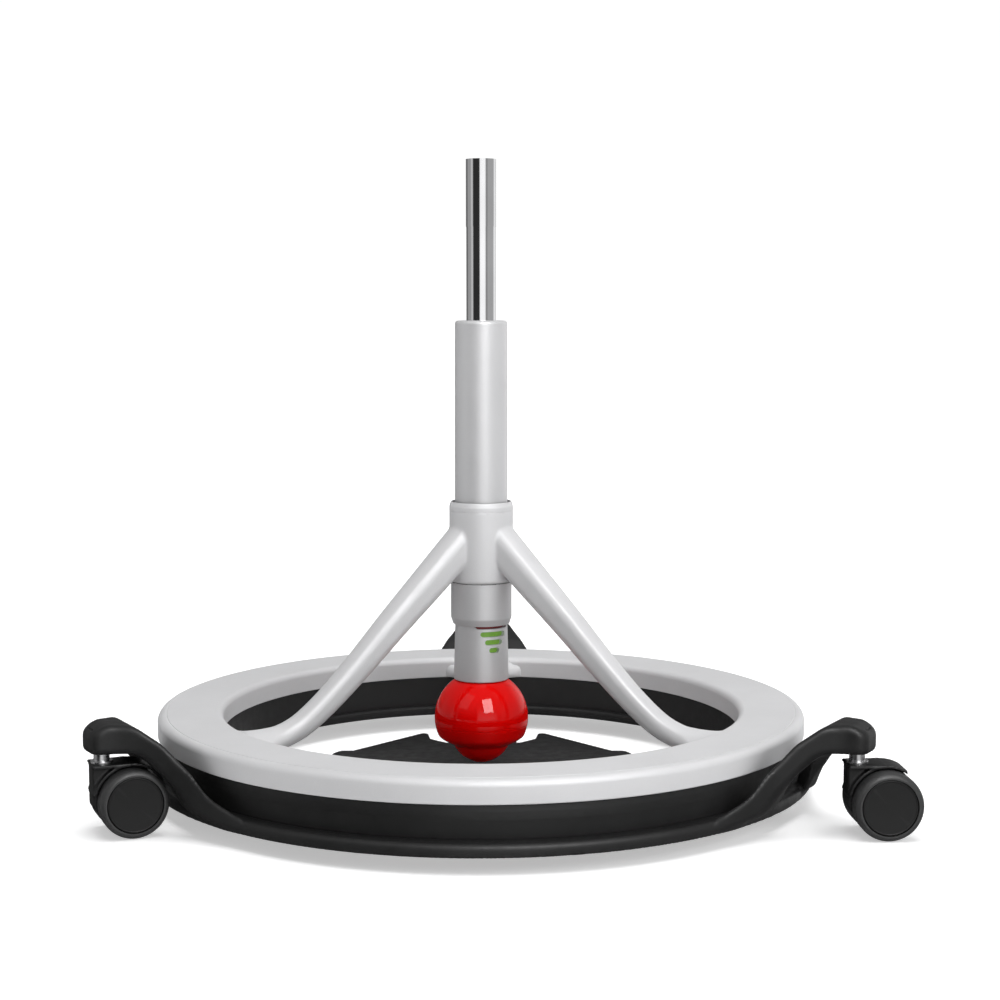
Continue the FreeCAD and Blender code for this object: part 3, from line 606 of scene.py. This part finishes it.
def hub_and_struts():
    """Hub that grows into three splayed struts, with a small fillet round each root.

    The struts end just inside the ring's wall, and stay clear of the cup that sways below the hub.
    """
    line = strut_line()
    bore = rounded(HUB_BORE)
    swing = rounded(CUP_SWING)

    def field(x, y, z):
        radius = np.hypot(x, y)
        underside = np.sqrt(radius ** 2 + (z - SWAY_HEIGHT) ** 2) - HUB_UNDERSIDE_RADIUS
        hub = np.maximum(radius - HUB_RADIUS, underside)
        solid = join(strut_field(x, y, z, line), hub, 1.4)
        solid = np.maximum(solid, z - SHOULDER_BOTTOM)
        solid = cut(solid, np.maximum(polygon(radius, z, swing), -underside), 0.8)
        solid = np.maximum(solid, -polygon(radius, z, bore))
        return np.maximum(solid, radius - RING_INNER_RADIUS - STRUT_BITE)

    mesh = three_legs("frame_struts_mesh", field, (-3.0, -61.2, 40.2), (199.0, 61.2, 214.0), 1.2)
    nodes = ["hub"] + ["strut_" + place for place in PLACES]
    return show("hub_with_struts", mesh, "base", SLOT_MATERIALS["silver_paint"], nodes)


def hub_shoulder():
    """Rolled shoulder that closes the mouth of the hub round the column."""
    outer, top = HUB_RADIUS, HUB_TOP
    mouth = 22.3
    tongue = SHOULDER_BOTTOM - 1.0
    mesh = lathe("hub_shoulder_mesh", [
        (outer, SHOULDER_BOTTOM),
        (outer, top - 4.0, 4.0),
        (outer - 1.0, top - 0.8, 1.6),
        (mouth, top - 0.1, 0.4),
        (mouth, tongue),
        (outer - 0.6, tongue),
        (outer - 0.4, SHOULDER_BOTTOM),
    ])
    return show("hub_shoulder", mesh, "base", SLOT_MATERIALS["silver_paint"])


# ---- black carrier ring with castor arms --------------------------------------------------------

# The fork of an arm from above and from the side, and the space its castor sweeps.
ARM_PLAN = mirrored([
    (313.5, 0.0),
    (313.5, 12.8, 9.0),
    (298.0, 16.0, 36.0),
    (277.0, 28.0, 120.0),
    (256.0, 47.0, 50.0),
    (245.0, 70.0, 40.0),
    (235.0, 87.0),
    (229.0, 82.0),
    (238.0, 60.0, 30.0),
    (244.0, 36.0, 8.0),
    (262.0, 21.0, 8.0),
    (272.0, 0.0),
])
ARM_SIDE = [
    (314.5, 58.6, 4.0),
    (314.5, 72.6, 6.0),
    (302.0, 79.2, 14.0),
    (285.0, 78.0, 16.0),
    (269.0, 65.5, 30.0),
    (254.0, 46.0, 24.0),
    (246.5, 31.0, 24.0),
    (233.0, 20.3, 14.0),
    (205.0, 20.3),
    (205.0, 13.0),
    (240.0, 13.0),
    (253.0, 17.0, 14.0),
    (264.0, 36.0, 20.0),
    (283.0, 58.6, 14.0),
]
CASTOR_SWING = [(0.0, 0.0), (51.0, 0.0), (51.0, 27.0), (47.0, 39.5), (43.0, 45.0),
                (33.0, 52.0), (17.0, 54.5), (0.0, 54.5)]
ARM_START = 195.0
ARM_HALF_SPAN = 135.0
FAR_AWAY = 60.0
RING_GAP = 0.6
SOCKET_RADIUS = 7.5
SOCKET_TOP = 74.5


def carrier_with_arms():
    """Flat band with three fork-shaped castor arms, in one smooth moulding."""
    plan = rounded(ARM_PLAN)
    side = rounded(ARM_SIDE)
    band = rounded([
        (BAND_INNER_RADIUS, BAND_LOW.z + 3.0, 1.0),
        (BAND_INNER_RADIUS, BAND_HIGH.z, 2.0),
        (BAND_HIGH.x, BAND_HIGH.z, 4.0),
        (BAND_HIGH.x, BAND_LOW.z, 1.5),
        (BAND_INNER_RADIUS + 9.0, BAND_LOW.z, 3.0),
    ])

    def field(x, y, z):
        radius = np.hypot(x, y)
        arm = np.full(x.shape, FAR_AWAY)
        near = (x > ARM_START) & (np.abs(y) < ARM_HALF_SPAN)
        u, v, w = x[near], y[near], z[near]
        body = overlap(polygon(u, v, plan), polygon(u, w, side), 4.0)
        ring_space = np.maximum(np.hypot(u, v) - RING_HIGH.x - RING_GAP, BAND_HIGH.z - w)
        body = cut(body, ring_space, 1.2)
        stem_gap = polygon(np.hypot(u - STEM_CIRCLE, v), w, CASTOR_SWING)
        arm[near] = cut(body, stem_gap, 1.5)
        socket = np.maximum(np.hypot(x - STEM_CIRCLE, y) - SOCKET_RADIUS, z - SOCKET_TOP)
        return np.maximum(join(arm, polygon(radius, z, band), 3.0), -socket)

    mesh = three_legs("carrier_mesh", field, (85.0, -220.5, 8.0), (316.0, 220.5, 81.0), 1.5)
    nodes = ["carrier_ring"] + ["castor_arm_" + place for place in PLACES]
    return show("carrier_with_arms", mesh, "base", SLOT_MATERIALS["black_plastic"],
                nodes)


# ---- adjusting ball ------------------------------------------------------------------------------

def adjusting_ball():
    """Glossy ball whose underside flows into a smaller nose, with a fine seam below its middle."""
    radius, centre = UPPER_HIGH.x, 50.7
    nose_radius, nose_centre = 23.4, 39.7
    seam, top = UPPER_LOW.z, UPPER_HIGH.z
    seam_half_width, seam_depth = 0.3, 0.15
    bore = 15.5
    blend = 12.0

    def share_below(level, depth, height):
        return min(max((level - height) / depth, 0.0), 1.0)

    def ball_width(height):
        shrink = 1.0 - 0.012 * share_below(seam, 9.0, height)
        round_width = math.sqrt(max((radius * shrink) ** 2 - (height - centre) ** 2, 0.0))
        return round_width * math.sqrt(1.0 - share_below(38.0, 8.8, height) ** 2)

    outline = [(bore, top)]
    for height in np.linspace(top, NOSE_BOTTOM, 220):
        ball = ball_width(height)
        nose = math.sqrt(max(nose_radius ** 2 - (height - nose_centre) ** 2, 0.0))
        width = max(ball, nose) + max(blend - abs(ball - nose), 0.0) ** 2 / (4 * blend)
        if abs(height - seam) < seam_half_width:
            width -= seam_depth
        outline.append((width, height))
    outline[-1] = (0.0, NOSE_BOTTOM)
    outline += [(0.0, NOSE_BOTTOM + 3.0), (14.0, NOSE_BOTTOM + 6.0), (bore, 40.0)]
    mesh = lathe("adjusting_ball_mesh", outline)
    return show("adjusting_ball", mesh, "adjusting_ball", SLOT_MATERIALS["red_gloss"],
                ["ball_upper", "ball_lower", "ball_nose"])


# ---- centre plate --------------------------------------------------------------------------------

PLATE_TOP = 5.5
FACET_RISE = 2.4
FACET_FOOT = 81.0
FACET_SLOPE = 9.0
BAR_HALF_WIDTH = 28.0


def plate_outline():
    """Three broad lobes, each with a notch either side of its bar."""
    corners_of_lobe = ((-60.0, 136.0, 30.0), (-17.0, 161.0, 4.0), (-19.0, 134.0, 3.0),
                       (-15.0, 116.0, 3.0), (15.0, 116.0, 3.0), (19.0, 134.0, 3.0),
                       (17.0, 161.0, 4.0))
    points = []
    for turn in range(len(PLACES)):
        for offset, radius, rounding in corners_of_lobe:
            angle = math.radians(offset) + turn * THIRD_TURN
            points.append((radius * math.cos(angle), radius * math.sin(angle), rounding))
    return rounded(points)


def centre_plate():
    """Low plate with a raised middle facet, and bars that rise under the carrier ring."""
    low, high = corners("centre_plate")
    plan = plate_outline()
    start, end = 90.0, 214.0
    bar_side = rounded([(start, low.z), (end, low.z), (end, high.z), (177.5, high.z),
                        (165.5, PLATE_TOP), (start, PLATE_TOP)])
    edge = 0.9

    def field(x, y, z):
        across = np.maximum(x, np.maximum(-0.5 * x + SIN_60 * y, -0.5 * x - SIN_60 * y))
        top = PLATE_TOP + FACET_RISE * np.clip((FACET_FOOT - across) / FACET_SLOPE, 0, 1)
        body = overlap(polygon(x, y, plan), np.maximum(z - top, low.z - z), edge)
        bar = overlap(polygon(x, z, bar_side), np.abs(y) - BAR_HALF_WIDTH, edge)
        return np.minimum(body, bar)

    mesh = three_legs("centre_plate_mesh", field, (-3.0, -141.0, 0.0), (216.0, 141.0, 13.0), 1.0)
    return show("centre_plate_shell", mesh, "base", SLOT_MATERIALS["black_plastic"],
                ["centre_plate"])


# ---- castors -------------------------------------------------------------------------------------

HOUSING_HALF_WIDTH = 12.5
WEB_HALF_WIDTH = 7.9
FENDER_RADIUS = 26.0
FENDER_BOTTOM = 30.0
BOSS_RADIUS = 7.7
STEM_HOLE_RADIUS = 5.55
STEM_HOLE_BOTTOM = 33.0
WHEEL_SPACE_RADIUS = 24.7
WHEEL_SPACE_START = 8.15
WHEEL_START = 8.4
WHEEL_RADIUS = 24.0
CAP_RADIUS = 19.9
CAP_FACE = 23.0


def castor_housing():
    """Housing with a flat back, a boss round the stem and a fender over the wheels."""
    profile = rounded([(-7.8, 21.0, 5.0), (-7.8, 51.0, 1.6), (12.0, 51.0, 5.0),
                       (TRAIL + 8, 49.5, 14.0), (TRAIL + 18, 38.0, 14.0),
                       (TRAIL + 18, 14.0, 12.0), (TRAIL, 6.5, 14.0), (2.0, 10.0, 10.0)])

    def field(x, y, z):
        from_middle = np.abs(y)
        from_stem = np.hypot(x, y)
        from_axle = np.hypot(x - TRAIL, z - AXLE_HEIGHT)
        web = overlap(polygon(x, z, profile), from_middle - WEB_HALF_WIDTH, 1.4)
        shell = np.abs(from_axle - FENDER_RADIUS) - 1.0
        fender = overlap(shell, from_middle - HOUSING_HALF_WIDTH, 0.8)
        fender = np.maximum(fender, FENDER_BOTTOM - z)
        fender = np.maximum(fender, x - TRAIL - 14.0)
        boss = overlap(from_stem - BOSS_RADIUS, np.abs(z - 44.0) - 7.0, 1.2)
        shelf_plan = np.maximum(np.abs(x - 5.0) - 12.8, from_middle - HOUSING_HALF_WIDTH)
        shelf = overlap(shelf_plan, np.abs(z - 49.9) - 1.1, 0.8)
        solid = join(join(web, fender, 1.5), join(boss, shelf, 1.0), 1.0)
        wheel_space = np.maximum(from_axle - WHEEL_SPACE_RADIUS, WHEEL_SPACE_START - from_middle)
        stem_hole = np.maximum(from_stem - STEM_HOLE_RADIUS, STEM_HOLE_BOTTOM - z)
        return np.maximum(np.maximum(solid, -wheel_space), -stem_hole)

    points, quads = surface_net(field, (-10.0, -15.0, 4.0), (40.0, 15.0, 53.0), 0.8)
    return smooth_mesh("castor_housing_mesh", points, quads)


def on_axle(name, outline, side):
    """Turn an outline of (radius, distance from the mid-plane) about the axle."""
    mesh = lathe(name, outline, segments=128)
    turn = Matrix.Rotation(math.radians(-90.0 * side), 4, "X")
    mesh.transform(Matrix.Translation((TRAIL * MM, 0.0, AXLE_HEIGHT * MM)) @ turn)
    return mesh


def wheel_core(side):
    """Wheel disc whose cap has a bevelled rim round a flat face."""
    rim = CAP_FACE + 0.3
    axle_hole, hole_end = 3.1, 20.5
    return on_axle("wheel_core_mesh", [
        (axle_hole, WHEEL_START), (CAP_RADIUS, WHEEL_START), (CAP_RADIUS, 21.9),
        (19.6, 22.5, 0.2), (18.9, rim, 0.3), (18.4, rim, 0.2), (18.1, CAP_FACE, 0.2),
        (0.0, CAP_FACE), (0.0, hole_end), (axle_hole, hole_end),
    ], side)


def wheel_tread(side):
    """Soft tread with a broad rounded shoulder."""
    tread_end = 23.5
    return on_axle("wheel_tread_mesh", [
        (CAP_RADIUS, WHEEL_START), (WHEEL_RADIUS, WHEEL_START, 2.0),
        (WHEEL_RADIUS, tread_end, 4.2), (20.4, tread_end, 0.8), (CAP_RADIUS, 22.3, 0.2),
    ], side)


def castors():
    """Three twin-wheel castors on their stems."""
    housing = castor_housing()
    sides = {"a": 1, "b": -1}
    cores = {label: wheel_core(side) for label, side in sides.items()}
    treads = {label: wheel_tread(side) for label, side in sides.items()}
    for place in PLACES:
        stand = castor_matrix(place)
        show("castor_housing_" + place, housing, "castor_" + place,
             SLOT_MATERIALS["castor_plastic"], ["castor_body_" + place], stand)
        for label in sides:
            body = "wheel_" + label + "_" + place
            show("wheel_core_" + label + "_" + place, cores[label], body,
                 SLOT_MATERIALS["wheel_cap"], [body], stand)
            show("wheel_tread_" + label + "_" + place, treads[label], body,
                 SLOT_MATERIALS["soft_tread"], ["tread_" + label + "_" + place], stand)


# ---- floor, light and camera --------------------------------------------------------------------

FLOOR_SIZE = 60.0
# Distance from the middle of the base in metres, and the strength of the floor's glow there.
GLOW_NEAR, GLOW_FAR = (0.5, 0.44), (1.4, 1.0)


def floor():
    """Pale floor whose own glow grows with distance, so that it fades to white."""
    bpy.ops.mesh.primitive_grid_add(x_subdivisions=8, y_subdivisions=8, size=FLOOR_SIZE)
    plane = bpy.context.object
    plane.name = "floor"
    plane.visible_glossy = False
    finish = Finish("floor").set(Emission_Color=(1.0, 1.0, 1.0, 1.0), Specular_IOR_Level=0.1)
    finish.colour(finish.colours(finish.noise(3.0, 3.0), (0.78, 0.78, 0.785), (0.8, 0.8, 0.805)))
    finish.roughness(finish.spread(finish.noise(8.0, 3.0), 0.75, 0.85))
    distance = finish.tree.nodes.new("ShaderNodeVectorMath")
    distance.operation = "LENGTH"
    finish.link(finish.coordinates.outputs["Object"], distance.inputs[0])
    (start, low), (end, high) = GLOW_NEAR, GLOW_FAR
    glow = finish.spread(distance.outputs["Value"], low, high, start, end)
    finish.link(glow, finish.shader.inputs["Emission Strength"])
    plane.data.materials.append(finish.material)


def softbox(name, place, target, width, height, radiance, mirrored_only=False):
    """Rectangular lamp, which is either only seen as a reflection or only gives soft light."""
    data = bpy.data.lights.new(name, "AREA")
    data.shape = "RECTANGLE"
    data.size = width
    data.size_y = height
    data.energy = radiance * math.pi * width * height
    lamp = bpy.data.objects.new(name, data)
    bpy.context.scene.collection.objects.link(lamp)
    lamp.visible_diffuse = not mirrored_only
    lamp.visible_glossy = mirrored_only
    lamp.location = place
    lamp.rotation_euler = (Vector(target) - Vector(place)).to_track_quat("-Z", "Y").to_euler()


# Brightness of the studio round the horizon: share of a turn from -X by way of -Y, and level.
STUDIO_PANELS = (
    (0.0, 0.36), (0.014, 0.36), (0.03, 0.6), (0.062, 0.6), (0.083, 0.03), (0.217, 0.03),
    (0.236, 1.15), (0.335, 1.15), (0.375, 0.18), (0.405, 0.42), (0.556, 0.42),
    (0.6, 0.95), (0.67, 0.95), (0.71, 0.16), (0.9, 0.16), (0.917, 0.36), (1.0, 0.36),
)
UPPER_SKY = (0.3, 0.3, 0.3, 1.0)
WHITE = (1.0, 1.0, 1.0, 1.0)


class World:
    """Node tree of the world, with the few patterns that its studio needs."""

    def __init__(self, name):
        world = bpy.data.worlds.new(name)
        bpy.context.scene.world = world
        world.use_nodes = True
        self.nodes = world.node_tree.nodes
        self.link = world.node_tree.links.new
        self.nodes.clear()

    def ramp(self, source, start, end, low=0.0, high=1.0):
        """Map a value from one range to another."""
        node = self.nodes.new("ShaderNodeMapRange")
        for socket, value in (("From Min", start), ("From Max", end),
                              ("To Min", low), ("To Max", high)):
            node.inputs[socket].default_value = value
        self.link(source, node.inputs["Value"])
        return node.outputs["Result"]

    def panels(self, direction):
        """Bright and dark panels that stand round the horizon."""
        around = self.nodes.new("ShaderNodeMath")
        around.operation = "ARCTAN2"
        self.link(direction["Y"], around.inputs[0])
        self.link(direction["X"], around.inputs[1])
        node = self.nodes.new("ShaderNodeValToRGB")
        elements = node.color_ramp.elements
        elements[0].position, elements[1].position = 0.0, 1.0
        for position, _ in STUDIO_PANELS[1:-1]:
            elements.new(position)
        for element, (_, level) in zip(elements, STUDIO_PANELS):
            element.color = (level, level, level, 1.0)
        self.link(self.ramp(around.outputs["Value"], -math.pi, math.pi), node.inputs["Fac"])
        return node.outputs["Color"]

    def background(self, colour, strength):
        """Background shader; each value is a socket to link or a plain value."""
        node = self.nodes.new("ShaderNodeBackground")
        for socket, value in (("Color", colour), ("Strength", strength)):
            if isinstance(value, bpy.types.NodeSocket):
                self.link(value, node.inputs[socket])
            else:
                node.inputs[socket].default_value = value
        return node.outputs["Background"]


def studio_world():
    """White backdrop for the view, and a soft studio with darker gaps for everything it lights."""
    world = World("studio")
    coordinates = world.nodes.new("ShaderNodeTexCoord")
    split = world.nodes.new("ShaderNodeSeparateXYZ")
    world.link(coordinates.outputs["Generated"], split.inputs["Vector"])
    direction = split.outputs
    blend = world.nodes.new("ShaderNodeMix")
    blend.data_type = "RGBA"
    world.link(world.ramp(direction["Z"], 0.15, 0.6), blend.inputs["Factor"])
    world.link(world.panels(direction), blend.inputs["A"])
    blend.inputs["B"].default_value = UPPER_SKY
    dimmed_below = world.ramp(direction["Z"], -0.35, -0.12, low=0.25)
    studio = world.background(blend.outputs["Result"], dimmed_below)
    backdrop = world.background(WHITE, 1.02)
    path = world.nodes.new("ShaderNodeLightPath")
    choose = world.nodes.new("ShaderNodeMixShader")
    output = world.nodes.new("ShaderNodeOutputWorld")
    world.link(path.outputs["Is Camera Ray"], choose.inputs["Fac"])
    world.link(studio, choose.inputs[1])
    world.link(backdrop, choose.inputs[2])
    world.link(choose.outputs["Shader"], output.inputs["Surface"])


CAMERA_PLACE = (0.0143, -1.5, 0.3695)
CAMERA_DOWN = math.radians(5.76)


def camera():
    """Long lens one and a half metres in front, looking slightly down at the base."""
    data = bpy.data.cameras.new("camera")
    data.sensor_width = 36.0
    data.lens = 71.44
    view = bpy.data.objects.new("camera", data)
    bpy.context.scene.collection.objects.link(view)
    view.location = CAMERA_PLACE
    view.rotation_euler = (math.radians(90.0) - CAMERA_DOWN, 0.0, 0.0)
    bpy.context.scene.camera = view


finish_cad_nodes()
foot_ring()
hub_and_struts()
hub_shoulder()
carrier_with_arms()
adjusting_ball()
centre_plate()
castors()
floor()
studio_world()
softbox("window", (0.54, -1.48, 1.28), (0.0, 0.0, 0.05), 0.8, 1.2, radiance=11.0, mirrored_only=True)
softbox("left_panel", (-1.13, -0.89, 1.44), (0.0, 0.0, 0.05), 0.9, 1.3, radiance=0.6, mirrored_only=True)
softbox("key", (1.8, -1.2, 1.2), (0.0, 0.0, 0.1), 1.2, 1.2, radiance=3.2)
softbox("overhead", (0.1, -0.1, 2.4), (0.0, 0.0, 0.1), 2.0, 2.0, radiance=4.2)
camera()
bpy.context.scene.view_settings.view_transform = "Standard"
